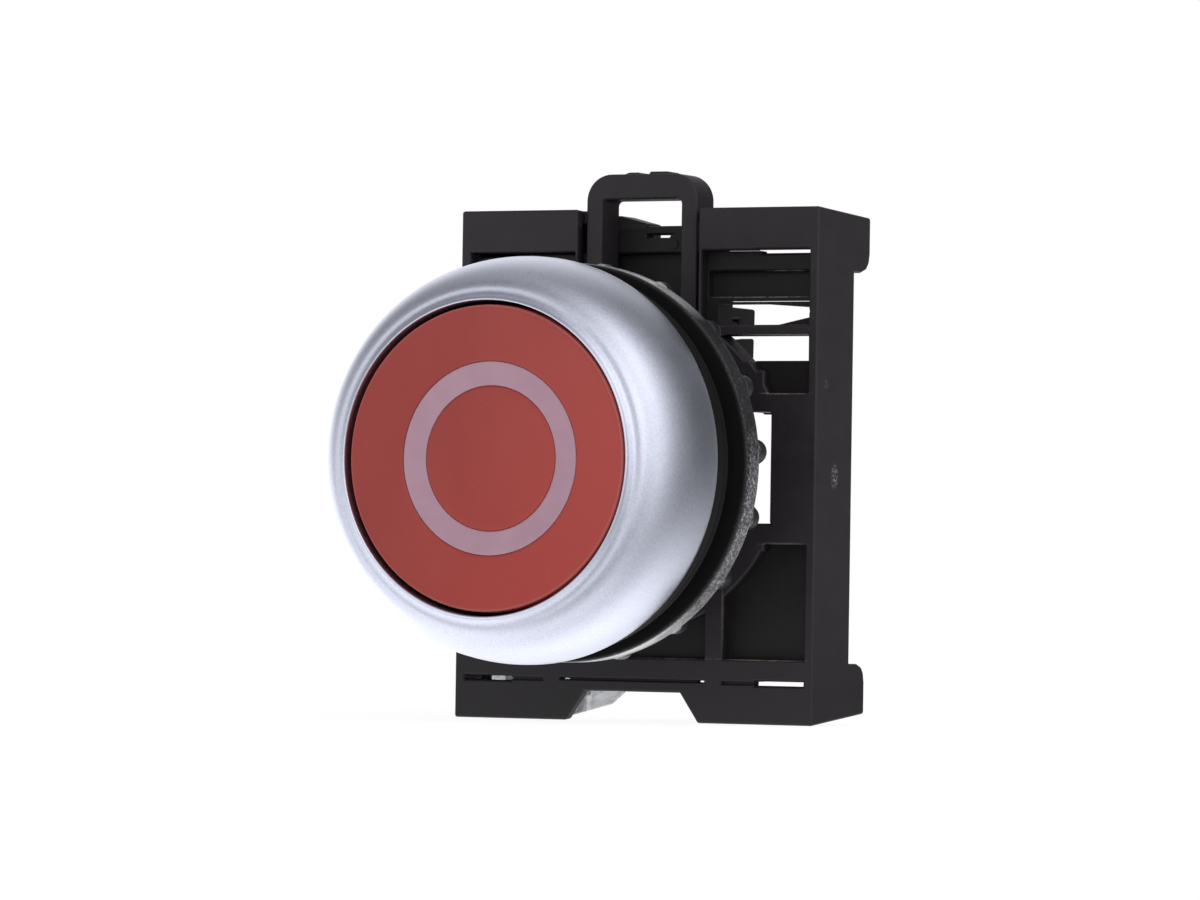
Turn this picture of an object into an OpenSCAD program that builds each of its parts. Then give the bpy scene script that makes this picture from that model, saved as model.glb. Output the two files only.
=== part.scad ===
// Flush 22 mm panel push button with a ring symbol, its fixing adapter
// and one normally closed contact block in the left-hand bay.
// Y runs along the button's axis: the button faces -Y, the wiring side is +Y.
// X is to the right when looking at the button, Z is up. All sizes are in mm.
// The origin lies on the button's axis, in the plane of the panel's front
// face, which is the rear face of the seal.

/* [Front ring] */
// Outside diameter of the front ring at its widest
ring_d = 29.7; // [29:0.1:30.5]
// Clear opening of the front ring
open_d = 22.7; // [22.6:0.1:23]
// How far the front ring stands in front of the panel
front_h = 11; // [10.6:0.1:12]
// Height of the fine lip round the opening
lip_h = 0.4; // [0.2:0.05:0.6]

/* [Button] */
// Diameter of the button cap
cap_d = 22.2; // [21.8:0.1:22.3]
// Radius of the shallow hollow in the cap's face
dish_r = 57; // [40:1:120]
// How far the cap's face lies in front of the panel at its centre
cap_h = 9.61; // [9.3:0.05:10]
// Outside diameter of the ring symbol
sym_od = 13.96; // [12:0.1:16]
// Inside diameter of the ring symbol
sym_id = 10.5; // [8:0.1:11]
// Travel of the button
travel = 5; // [3:0.5:5]

/* [Body] */
// Diameter of the threaded barrel that passes through the panel
barrel_d = 21.9; // [21.6:0.1:22]
// Length of the threaded barrel behind the panel
barrel_l = 10.8; // [10:0.1:11]
// Diameter of the latching collar at the barrel's rear
collar_d = 19.8; // [19.4:0.1:20]
// Rear end of the latching collar
collar_y = 17; // [16.5:0.1:17]
// Bore of the guide web for the button's stem
guide_d = 12.1; // [12.08:0.01:12.2]

/* [Nut] */
// Diameter of the panel nut's rim
nut_d = 29.4; // [28:0.1:30]
// Gap between the seal and the nut, which takes the panel
grip = 2.2; // [2.1:0.1:2.5]
// Width of the nut's rim along the axis
nut_rim = 2.22; // [1.5:0.01:2.5]
// Number of round lobes on the nut
nut_lobes = 18; // [12:1:24]

/* [Adapter] */
// Width of the fixing adapter
ad_w = 30; // [29.5:0.1:30.5]
// Top edge of the fixing adapter above the axis
ad_top = 19.4; // [19:0.1:20]
// Bottom edge of the fixing adapter below the axis
ad_bot = 19.2; // [19:0.1:20]
// Front face of the fixing adapter behind the panel
ad_y = 13.56; // [13.4:0.01:13.7]
// Depth of the adapter's side walls
ad_d = 6.54; // [6:0.01:7]
// Extra depth of the adapter's corner feet
foot_d = 2.8; // [2:0.1:3]
// Width of the locking lever
lever_w = 9.3; // [8.8:0.1:9.4]
// Top of the locking lever's loop
lever_top = 22.05; // [21:0.05:23]

/* [Contact block] */
// Left side of the contact block
cb_x0 = -14.85; // [-14.9:0.01:-14.7]
// Right side of the contact block
cb_x1 = -5.45; // [-5.6:0.01:-5.45]
// Rear face of the contact block behind the panel
cb_rear = 43.2; // [42:0.1:44]
// Height of each terminal screw from the axis
term_z = 11; // [10.6:0.1:11.4]

/* [Hidden] */
$fn = 96;
e = 0.01;
ring_r = ring_d / 2;
open_r = open_d / 2;
cap_r = cap_d / 2;
barrel_r = barrel_d / 2;
collar_r = collar_d / 2;
nut_r = nut_d / 2;
hole_r = collar_r + 0.2;      // round hole in the adapter
rib_in = 4.2;                 // inner side of the adapter's ribs
rib_out = 5.4;                // outer side of the adapter's ribs
back = ad_y + ad_d;           // rear edge of the side walls
lever_y0 = ad_y + 0.54;       // front of the locking lever
lever_y1 = lever_y0 + 3;      // rear of the locking lever
slot_y = lever_y1 + 0.1;      // front of the wall behind the lever
cb_y = 17.4;                  // front wall of the contact block
cb_lid = cb_x1 - 0.9;         // seam between the block's housing and its lid
cb_neck = -13.9;              // left side of the block's front part, between the adapter's walls
cb_wide = 23.2;               // from here back the block has its full width
cb_mid = -10.15;              // middle of the contacts and terminals
nut_y = grip;

// ---------- helpers ----------
// Solid of revolution about the Y axis from [radius, y] points
module turned(pts) rotate([-90, 0, 0]) rotate_extrude() polygon(pts);
// Plain ring about the Y axis
module tube(ri, ro, y0, y1) turned([[ri, y0], [ro, y0], [ro, y1], [ri, y1]]);
// Cylinder along Y at x, z
module rod(x, z, r, y0, y1) translate([x, y0, z]) rotate([-90, 0, 0]) cylinder(r = r, h = y1 - y0);
// Outline in the XZ plane, drawn from y0 to y1
module xz(y0, y1) translate([0, y1, 0]) rotate([90, 0, 0]) linear_extrude(y1 - y0) children();
// Outline in the YZ plane, drawn from x0 to x1
module yz(x0, x1) translate([x0, 0, 0]) rotate([90, 0, 90]) linear_extrude(x1 - x0) children();
// Box from its two corners
module box(a, b) translate(a) cube([b[0] - a[0], b[1] - a[1], b[2] - a[2]]);
// Rectangle from its two corners
module rect(x0, y0, x1, y1) translate([x0, y0]) square([x1 - x0, y1 - y0]);
// Rectangle with round corners
module rrect(x0, y0, x1, y1, r) {
  rect(x0 + r, y0, x1 - r, y1);
  rect(x0, y0 + r, x1, y1 - r);
  for (x = [x0 + r, x1 - r]) for (y = [y0 + r, y1 - r]) translate([x, y]) circle(r = r, $fn = 32);
}
// Both sides of the YZ plane
module both() { children(); mirror([1, 0, 0]) children(); }
// Round wire wound about the Y axis through x, z, from y0 to y1
module coil(x, z, r, wire, y0, y1, turns, seg, sides) {
  n = turns * seg;
  function at(i, k) = let (a = 360 * i / seg, b = 360 * k / sides,
    flat = max(0, min(1, (i - seg) / (n - 2 * seg))),
    rr = r + wire * cos(b), yy = y0 + (y1 - y0) * flat + wire * sin(b) * 1)
    [x + rr * cos(a), yy + wire * 2.06 * (i < seg ? (i / seg - 1) : (i > n - seg ? (i - n + seg) / seg : 0)), z + rr * sin(a)];
  pts = [for (i = [0:n]) for (k = [0:sides - 1]) at(i, k)];
  walls = [for (i = [0:n - 1]) for (k = [0:sides - 1])
    [i * sides + k, (i + 1) * sides + k, (i + 1) * sides + (k + 1) % sides, i * sides + (k + 1) % sides]];
  polyhedron(pts, concat(walls, [[for (k = [0:sides - 1]) k]], [[for (k = [0:sides - 1]) n * sides + sides - 1 - k]]), convexity = 10);
}

// ---------- operator ----------
// Y of the cap's dished face at radius r
function face_y(r) = -cap_h - r * r / (2 * dish_r);
// Rounded shoulder of the front ring, from the lip's foot to the widest line
function shoulder(n) = [for (i = [0:n]) let (t = 90 * i / n)
  [ring_r - 2.8 + 2.8 * sin(t), -3.9 - (front_h - 3.9 - lip_h - 0.02) * cos(t)]];

module bezel_ring() {
  color([0.66, 0.69, 0.75]) turned(concat(
    [[open_r, -front_h + 0.1], [open_r + 0.08, -front_h], [open_r + 0.22, -front_h],
     [open_r + 0.32, -front_h + 0.08], [open_r + 0.42, -front_h + lip_h - 0.06],
     [open_r + 0.52, -front_h + lip_h]],
    shoulder(14),
    [[ring_r - 0.02, -3.3], [ring_r - 0.12, -2.75], [12.3, -2.75], [12.3, -9.5], [open_r, -9.5]]));
}

module actuator_body() {
  color([0.07, 0.07, 0.08]) difference() {
    union() {
      // front tube, flange, barrel and latching collar
      turned([[11.5, -9.4], [12.25, -9.4], [12.25, -2.7], [14.4, -2.7], [14.4, -1.15], [14.25, -1],
        [13.7, -1], [13.7, -1.6], [12, -1.6], [12, -1], [barrel_r, -1], [barrel_r, barrel_l - 0.5],
        [barrel_r - 0.5, barrel_l], [collar_r, barrel_l], [collar_r, 14.3], [collar_r - 0.7, 14.3],
        [collar_r - 0.7, 16.3], [collar_r, 16.3], [collar_r, collar_y - 0.3], [collar_r - 0.3, collar_y],
        [8.4, collar_y], [8.4, 9], [9.4, 8], [guide_d / 2, 8], [guide_d / 2, 5.6], [9.4, 5.6],
        [9.4, -2.7], [11.5, -2.7]]);
      // key that stops the body turning in the panel's notch
      box([-1.3, -1.1, barrel_r - 0.6], [1.3, 1.5, 12]);
    }
    // side slots for the pusher's wings
    box([-12, 9.3, -4.3], [12, 18, 4.3]);
  }
}

module panel_gasket() {
  color([0.05, 0.05, 0.055]) difference() {
    turned([[11.3, -0.98], [12.04, -0.98], [12.04, -1.56], [13.66, -1.56], [13.66, -0.98],
      [14.2, -0.98], [14.3, -0.88], [14.3, 0], [11.3, 0]]);
    box([-1.5, -2, 10], [1.5, 1, 12.4]);
  }
}

module button_cap() {
  color([0.66, 0.2, 0.18]) turned(concat(
    [for (i = [0:6]) let (r = (sym_id / 2 - 0.02) * i / 6) [r, face_y(r)]],
    [[sym_id / 2 - 0.02, face_y(sym_id / 2) + 0.42], [sym_od / 2 + 0.02, face_y(sym_od / 2) + 0.42]],
    [for (i = [0:6]) let (r = sym_od / 2 + 0.02 + (cap_r - 0.4 - sym_od / 2 - 0.02) * i / 6) [r, face_y(r)]],
    [[cap_r - 0.22, face_y(cap_r) + 0.02], [cap_r - 0.06, face_y(cap_r) + 0.16], [cap_r, face_y(cap_r) + 0.36],
     [cap_r, -8.2], [cap_r - 1, -8.2], [cap_r - 1, -8.75], [0, -8.75]]));
}

module symbol_ring() {
  color([0.72, 0.58, 0.65]) turned(concat(
    [for (i = [0:4]) let (r = sym_id / 2 + (sym_od - sym_id) / 2 * i / 4) [r, face_y(r)]],
    [[sym_od / 2, face_y(sym_od / 2) + 0.38], [sym_id / 2, face_y(sym_id / 2) + 0.38]]));
}

module button_carrier() {
  color([0.12, 0.12, 0.13]) turned([[0, -8.7], [9.2, -8.7], [9.2, -7.6], [6, -7.6], [6, 9.5],
    [4.9, 9.5], [4.9, -7], [0, -7]]);
}

module pusher_bar() {
  color([0.15, 0.15, 0.16]) {
    xz(9.6, 12.3) rrect(-10.5, -3.2, 10.5, 3.2, 0.6);
    xz(9.6, 11) circle(r = 8);
    rod(0, 0, 4.85, 6.5, 9.7);
  }
}

module return_spring() {
  color([0.7, 0.72, 0.74]) coil(0, 0, 7.4, 0.4, -6.3, 4.3, 6, 24, 8);
}

module diaphragm_seal() {
  color([0.1, 0.1, 0.11]) turned([[9.25, -8.5], [9.9, -8.5], [9.9, -7.6], [10.75, -3.5], [11.3, -3.4],
    [11.3, -2.75], [10.2, -2.75], [10.2, -3.4], [9.45, -7.4], [9.25, -7.5]]);
}

module ring_nut() {
  y1 = nut_y + nut_rim;
  color([0.2, 0.2, 0.21]) difference() {
    union() {
      turned([[10, nut_y], [nut_r - 0.25, nut_y], [nut_r, nut_y + 0.25], [nut_r, y1], [10, y1]]);
      xz(y1, y1 + 1.15) union() {
        circle(r = 13.85);
        for (k = [0:nut_lobes - 1]) rotate(3.8 + 360 * k / nut_lobes) translate([13.89, 0]) circle(r = 0.95, $fn = 32);
      }
    }
    rod(0, 0, barrel_r + 0.05, 0, 8);
  }
}

// ---------- adapter ----------
// Ring zone that stays at full height round the adapter's hole
module ring_zone() { circle(r = 12.3); }
// Stepped pockets of the right-hand half of the adapter's face
module face_pockets() {
  // upper pocket, a step below the top bar, and the deeper strip
  xz(ad_y - e, ad_y + 1.2) difference() { rect(5.3, 5.5, 14.2, 16.17); ring_zone(); rect(5, 9.88, 15, 10.6); rect(9, 5, 10.66, 7.2); }
  xz(ad_y + 1, ad_y + 2) rect(5.4, 12.75, 14.1, 14.65);
  // lower pocket
  xz(ad_y - e, ad_y + 1.2) difference() { rect(7.5, -14.35, 14.2, -5.75); ring_zone(); rect(9, -6.3, 10.8, -5); }
  // lower middle pocket
  xz(ad_y - e, ad_y + 0.8) difference() { rect(-0.1, -14.35, 6, -9); circle(r = 12.5); }
  // shallow grooves that carry on the bottom slots
  xz(ad_y - e, ad_y + 0.3) { rect(7.5, -16.22, 10.3, -16.02); rect(-0.1, -16.12, 5.5, -16); }
}
// Openings that go right through the right-hand half
module face_windows() {
  xz(ad_y - 1, ad_y + 3) {
    rect(9.8, 16, 14.1, 16.2);                          // thin slot under the top bar
    rect(6.3, 12.37, 14.1, 12.45);                      // hairline slot over the first window
    difference() { union() { polygon([[6.2, 12.2], [10, 12.2], [13.9, 11.94], [13.9, 11.22], [11.2, 10.64], [6.2, 10.64]]);
      translate([13.88, 11.58]) circle(r = 0.36, $fn = 32); } ring_zone_hole(); }
    difference() { rrect(6.5, 7.95, 14.1, 9.82, 0.25); ring_zone_hole(); }
    rrect(9, -4.2, 11.3, 4.1, 0.15);                     // side window for the pusher
    rect(10.2, -16.28, 14.15, -15.96);                  // thin slot over the bottom bar
    rect(5.4, -16.12, 6, -16);
  }
}
module ring_zone_hole() { circle(r = 12); }
module adapter_frame() {
  w = ad_w / 2;
  color([0.1, 0.09, 0.1]) difference() {
    union() {
      difference() {
        union() {
          // face plate, thinner behind the top and bottom bars
          box([-w, ad_y, -ad_bot], [w, ad_y + 1, ad_top]);
          box([-w, ad_y, -16], [w, ad_y + 2.2, 16.17]);
          // side walls
          both() box([w - 1, ad_y, -ad_bot], [w, back, ad_top]);
          // top wall
          box([-w, ad_y, ad_top - 1.1], [w, back, ad_top]);
          // corner feet
          both() yz(w - 1, w) polygon([[back - 1.5, 14.8], [back + 1.2, 14.8], [back + 2.2, 15.1], [back + 2.65, 15.6],
            [back + foot_d, 16.3], [back + foot_d, ad_top - 0.3], [back + foot_d - 0.3, ad_top], [back - 1.5, ad_top]]);
          both() yz(w - 1, w) polygon([[back - 1.5, -14.6], [back + 1.5, -14.6], [back + 2.3, -14.85], [back + 2.65, -15.3],
            [back + foot_d, -16], [back + foot_d, -ad_bot + 0.3], [back + foot_d - 0.3, -ad_bot], [back - 1.5, -ad_bot]]);
          // collar sleeve
          tube(hole_r, 11.5, ad_y + 2, slot_y);
        }
        both() face_pockets();
        both() face_windows();
        // hole for the barrel's latching collar
        rod(0, 0, hole_r, ad_y - 1, slot_y + 1);
        // side openings for the pusher's wings behind the face
        box([-11.3, ad_y - 1, -4.2], [11.3, slot_y + 1, 4]);
        // lever's slot: behind the ring zone, and open to the front above it
        box([-4.8, ad_y + 0.44, 5], [4.8, slot_y, ad_top + 1]);
        difference() { box([-5.1, ad_y - 1, 10], [5.1, ad_y + 1.2, ad_top + 1]); xz(ad_y - 2, ad_y + 2) ring_zone(); }
        // gap in the top wall behind the lever, so its loop is open to the rear
        box([-4.9, slot_y - e, 18.25], [4.9, back + 1, ad_top + 1]);
        // outside walls lean in towards the rear
        yz(-w - 1, w + 1) polygon([[ad_y, ad_top], [back + foot_d + 1, ad_top - 0.4], [back + foot_d + 1, ad_top + 1], [ad_y, ad_top + 1]]);
        yz(-w - 1, w + 1) polygon([[ad_y, -ad_bot], [back + foot_d + 1, -ad_bot + 0.9], [back + foot_d + 1, -ad_bot - 1], [ad_y, -ad_bot - 1]]);
      }
      // wall behind the lever: a lit upper part and a deeper lower part
      difference() {
        union() {
          box([-rib_out, slot_y, 16.2], [rib_out, slot_y + 1, 18.3]);
          box([3.1, slot_y, 18], [rib_out, slot_y + 1, 18.85]);
          // raised snap tab with a sloping top
          xz(slot_y, slot_y + 2.6) polygon([[-rib_out, 17], [-1.05, 17], [-1.05, 18.5], [-3.3, 19.1], [-3.8, 19.1], [-rib_out, 18.7]]);
        }
        box([-1, slot_y - 1, 17.4], [0.9, slot_y + 1.5, 17.62]);
      }
      rod(1.25, 16.9, 0.4, slot_y - 0.08, slot_y + 0.5);
      box([-rib_out, slot_y + 1, 10.4], [rib_out, slot_y + 2, 16.4]);
      // ribs with their snap arms
      both() {
        box([rib_in, slot_y, 16.9], [rib_out, back + 3.2, 18.4]);
        box([rib_in, slot_y, 8.5], [rib_out, slot_y + 1.3, 17]);
        difference() {
          box([rib_in, slot_y, 10.45], [rib_out, back + 3, 12.2]);
          box([rib_in - 1, slot_y - 1, 11.15], [rib_out + 1, slot_y + 3, 11.3]);
          box([rib_in - 1, slot_y + 2.85, 10.6], [rib_out + 1, slot_y + 3, 11.3]);
        }
        yz(rib_in, rib_out) polygon([[slot_y, 8.5], [back + 2.9, 8.5], [back + 2.9, 9.98], [slot_y + 2.4, 9.7], [slot_y, 9.45]]);
        box([rib_in, ad_y + 2, -16], [rib_out, back, -12.2]);
      }
    }
    // tool notch in the bottom bar
    xz(ad_y - 1, ad_y + 20) polygon([[-4, -16.95], [4, -16.95], [5.6, -ad_bot - 0.1], [5.6, -25], [-5.6, -25], [-5.6, -ad_bot - 0.1]]);
  }
}

module locking_lever() {
  w = lever_w / 2;
  color([0.12, 0.11, 0.12]) difference() {
    union() {
      xz(lever_y0, lever_y1) difference() {
        union() { rrect(-w, 14, w, lever_top, 2); rect(-w, 8, w, 16); }
        rrect(-3.3, 11.7, 3.3, lever_top - 1.9, 0.4);
        circle(r = collar_r + 0.2);
      }
      // blade that bites into the collar's groove
      xz(lever_y0 + 0.45, lever_y1 - 1.05) difference() { rect(-w, 7, w, 11.8); circle(r = collar_r - 0.6); }
      // small grip marks on top
      xz(lever_y0 + 0.5, lever_y1 - 0.5) polygon([[-2.2, 21.9], [-1.3, 22.2], [-0.6, 22.2], [0, 21.9]]);
      xz(lever_y0 + 0.5, lever_y1 - 0.5) polygon([[0.3, 21.9], [0.45, 22.25], [1.9, 22.25], [2.1, 21.9]]);
    }
    // relief so the lever clears the sleeve's ends
    box([-w - 1, lever_y0 - 1, 0], [w + 1, lever_y1 + 1, 8.05]);
  }
}

// ---------- contact block ----------
// Outline of the dark housing in the YZ plane
module block_outline() {
  polygon([[cb_y, -12.6], [cb_y, 16.2], [14.7, 16.2], [14.7, 18.15], [23.6, 18.15], [25, 17.2], [25, 14.6],
    [36, 14.6], [36.5, 14.1], [36.5, 7.6], [cb_rear - 0.5, 7.6], [cb_rear, 7.1], [cb_rear, -7.1], [cb_rear - 0.5, -7.6],
    [25.5, -7.6], [25.5, -12.6]]);
}
// Space inside the dark housing
module block_inside() {
  polygon([[cb_y + 1.1, -11.6], [cb_y + 1.1, 13.4], [24.4, 13.4], [26, 13.7], [35.4, 13.7], [35.4, 6.6], [cb_rear - 1, 6.6],
    [cb_rear - 1, -6.6], [35.4, -6.6], [35.4, -8.5], [26.4, -8.5], [26.4, -6.6], [24.5, -6.6], [24.5, -11.6]]);
}
// Opening for the plunger's head
module plunger_gate() { box([-11.6, cb_y - 1, -1.75], [cb_lid, cb_y + 2, 1.75]); }
module screw_well(z) { rod(cb_mid, z, 2.6, 34.5, 37.5); }
module wire_mouth(s) { box([-12.95, 29, s > 0 ? 12 : -16], [-7.35, 33.4, s > 0 ? 16 : -12]); }

// Cuts the left side of the block back to its narrow front part
module neck_cut() { box([cb_x0 - 1, 10, -22], [cb_neck, cb_wide, 22]); }
// Room in the full-width part, beside the narrow room in front
module wide_room(z0, z1) { box([cb_x0 + 0.95, cb_wide + 1.1, z0], [cb_neck + 1.5, 35.4, z1]); }

module contact_housing() {
  color([0.13, 0.13, 0.14]) difference() {
    yz(cb_x0, cb_lid) block_outline();
    neck_cut();
    yz(cb_neck + 0.95, cb_lid + 1) block_inside();
    wide_room(-6.6, 13.4);
    box([cb_x0 + 0.95, 26.4, -8.5], [cb_neck + 1.5, 35.4, -6.5]);
    plunger_gate();
    screw_well(term_z);
    wire_mouth(1);
    // grip grooves on the rear nose
    for (k = [-2:2]) box([cb_x0 - 1, cb_rear - 0.35, k * 2 - 0.3], [cb_lid + 1, cb_rear + 1, k * 2 + 0.3]);
  }
}

module contact_side_cover() {
  color([0.14, 0.14, 0.15]) difference() {
    yz(cb_lid + 0.03, cb_x1) block_outline();
    // relief for the plunger's head at the front edge
    box([cb_lid - 1, cb_y - 1, -1.75], [cb_lid + 0.4, cb_y + 6, 1.75]);
    // two inspection slots
    for (z = [4.2, -5.4]) box([cb_lid - 1, 28.5, z], [cb_x1 + 1, 33.5, z + 1.2]);
  }
}

// Outline of the clear lower cover in the YZ plane
module clear_outline() {
  polygon([[cb_y, -12.63], [25.53, -12.63], [25.53, -7.63], [36.5, -7.63], [36.5, -14.1], [36, -14.6], [25.2, -14.6],
    [24.9, -15.2], [24.4, -17], [21.7, -18.1], [14.7, -18.9], [14.7, -16.45], [cb_y, -16.45]]);
}
module clear_terminal_cover() {
  color([0.85, 0.88, 0.9, 0.45]) difference() {
    yz(cb_x0, cb_x1) clear_outline();
    neck_cut();
    yz(cb_x0 + 0.95, cb_x1 - 0.95) polygon([[26.4, -7], [35.4, -7], [35.4, -13.7], [26.4, -13.7]]);
    yz(cb_neck + 0.95, cb_x1 - 0.95) polygon([[cb_y + 1, -13.6], [24, -13.6], [23.3, -16.3], [21.4, -17.1], [cb_y + 1, -17.4]]);
    screw_well(-term_z);
    wire_mouth(-1);
  }
}

module contact_plunger() {
  color([0.72, 0.12, 0.1]) {
    box([-10.6, 12.35, -1.6], [-6.65, 17.2, 1.6]);
    box([-11.2, 16.4, -1.5], [-9.1, 31.9, 1.5]);
    rod(cb_mid, 0, 0.85, 31.8, 36);
  }
}

module contact_bridge() {
  color([0.78, 0.55, 0.3]) difference() {
    box([-11.9, 32.05, -6], [-8.4, 32.75, 6]);
    rod(cb_mid, 0, 0.95, 31, 34);
  }
}
module bridge_contact_tips() {
  color([0.85, 0.85, 0.83]) for (z = [-4.4, 4.4]) rod(cb_mid, z, 1.1, 31.45, 32.05);
}
module contact_spring() {
  color([0.72, 0.73, 0.75]) coil(cb_mid, 0, 1.9, 0.2, 33.45, 41.5, 9, 18, 6);
}

// Strip that carries a fixed contact and its terminal; s is 1 above, -1 below
module fixed_contact(s) {
  mirror([0, 0, s > 0 ? 0 : 1]) color([0.8, 0.62, 0.36]) difference() {
    yz(-12.5, -7.8) polygon([[30, 3.1], [30.8, 3.1], [30.8, 7.6], [30.5, 8.2], [30.5, 13.2], [29.6, 13.2], [29.6, 7.7], [30, 7.1]]);
    rod(cb_mid, term_z, 1.55, 29, 31);
  }
}
module upper_fixed_contact() fixed_contact(1);
module lower_fixed_contact() fixed_contact(-1);
module fixed_contact_tips() {
  color([0.85, 0.85, 0.83]) for (z = [-4.4, 4.4]) rod(cb_mid, z, 1.1, 30.8, 31.4);
}

// Square pressure plate under a terminal screw's head
module clamp_plate(z) {
  color([0.75, 0.76, 0.77]) difference() {
    box([cb_mid - 2.6, 32.5, z - 2.3], [cb_mid + 2.6, 33.4, z + 2.3]);
    rod(cb_mid, z, 1.55, 32, 34);
  }
}
module upper_clamp_plate() clamp_plate(term_z);
module lower_clamp_plate() clamp_plate(-term_z);

// Cross-and-slot head screw
module terminal_screw(z) {
  color([0.78, 0.79, 0.8]) difference() {
    union() {
      rod(cb_mid, z, 1.5, 28.7, 33.6);
      translate([cb_mid, 0, z]) turned([[0, 33.45], [2.5, 33.45], [2.5, 35.2], [2.3, 35.4], [0, 35.4]]);
    }
    box([cb_mid - 3, 34.7, z - 0.4], [cb_mid + 3, 36, z + 0.4]);
    box([cb_mid - 0.35, 34.4, z - 1.4], [cb_mid + 0.35, 36, z + 1.4]);
  }
}
module upper_terminal_screw() terminal_screw(term_z);
module lower_terminal_screw() terminal_screw(-term_z);

bezel_ring();
actuator_body();
panel_gasket();
button_cap();
symbol_ring();
button_carrier();
pusher_bar();
return_spring();
diaphragm_seal();
ring_nut();
adapter_frame();
locking_lever();
contact_housing();
contact_side_cover();
clear_terminal_cover();
contact_plunger();
contact_bridge();
bridge_contact_tips();
contact_spring();
upper_fixed_contact();
lower_fixed_contact();
fixed_contact_tips();
upper_clamp_plate();
lower_clamp_plate();
upper_terminal_screw();
lower_terminal_screw();
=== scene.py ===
import math

import bmesh
from mathutils.bvhtree import BVHTree
import bpy
import numpy as np
from mathutils import Matrix, Vector


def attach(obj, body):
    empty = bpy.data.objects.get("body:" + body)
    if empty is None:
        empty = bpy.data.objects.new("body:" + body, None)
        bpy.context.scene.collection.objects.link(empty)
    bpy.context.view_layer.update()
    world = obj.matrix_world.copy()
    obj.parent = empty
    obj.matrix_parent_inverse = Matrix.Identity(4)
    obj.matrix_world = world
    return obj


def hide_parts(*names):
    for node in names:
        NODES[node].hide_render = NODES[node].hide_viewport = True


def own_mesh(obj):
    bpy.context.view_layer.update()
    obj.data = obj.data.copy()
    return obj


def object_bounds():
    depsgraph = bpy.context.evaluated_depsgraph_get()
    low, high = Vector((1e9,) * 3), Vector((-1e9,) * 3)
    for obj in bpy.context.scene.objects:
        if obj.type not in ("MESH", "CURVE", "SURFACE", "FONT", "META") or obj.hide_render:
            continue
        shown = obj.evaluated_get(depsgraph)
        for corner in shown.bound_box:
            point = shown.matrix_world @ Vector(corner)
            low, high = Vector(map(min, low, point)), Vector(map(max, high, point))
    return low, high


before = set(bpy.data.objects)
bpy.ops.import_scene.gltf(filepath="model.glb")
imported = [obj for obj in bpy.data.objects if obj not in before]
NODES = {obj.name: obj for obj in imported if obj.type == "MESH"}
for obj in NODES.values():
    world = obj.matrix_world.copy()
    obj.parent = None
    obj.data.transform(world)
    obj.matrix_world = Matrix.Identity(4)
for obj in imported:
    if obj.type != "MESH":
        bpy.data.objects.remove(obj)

S = 0.001  # the lengths below are in millimetres
CAD_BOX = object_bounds()
TAU = 2 * math.pi
scene = bpy.context.scene


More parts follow.
